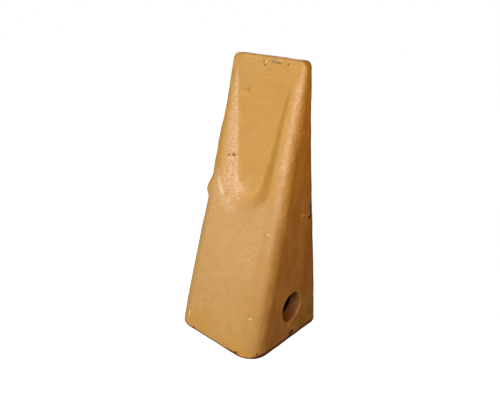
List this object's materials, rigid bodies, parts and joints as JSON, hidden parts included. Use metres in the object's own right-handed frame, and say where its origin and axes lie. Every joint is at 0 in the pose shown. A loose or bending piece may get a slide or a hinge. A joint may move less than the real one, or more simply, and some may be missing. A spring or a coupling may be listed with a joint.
{
  "type": "bucket tooth",
  "caption": "Cast, painted digging tooth for a backhoe bucket: a wedge with a scoop on each face, a tapered socket for the adapter's nose and a side pin hole.",
  "frame": {"origin": "middle of the socket mouth's rim plane, on which the tooth stands", "axes": "+Z from the socket's mouth to the tip, X across the tooth along the pin, -Y out of the face with the casting lump"},
  "size_m": [0.0698, 0.0784, 0.18],
  "materials": {
    "painted_casting": "semi-matte ochre yellow paint over a cast surface, with chips at the edges"
  },
  "bodies": {
    "root": {"bucket_tooth": "painted_casting"}
  },
  "joints": []
}
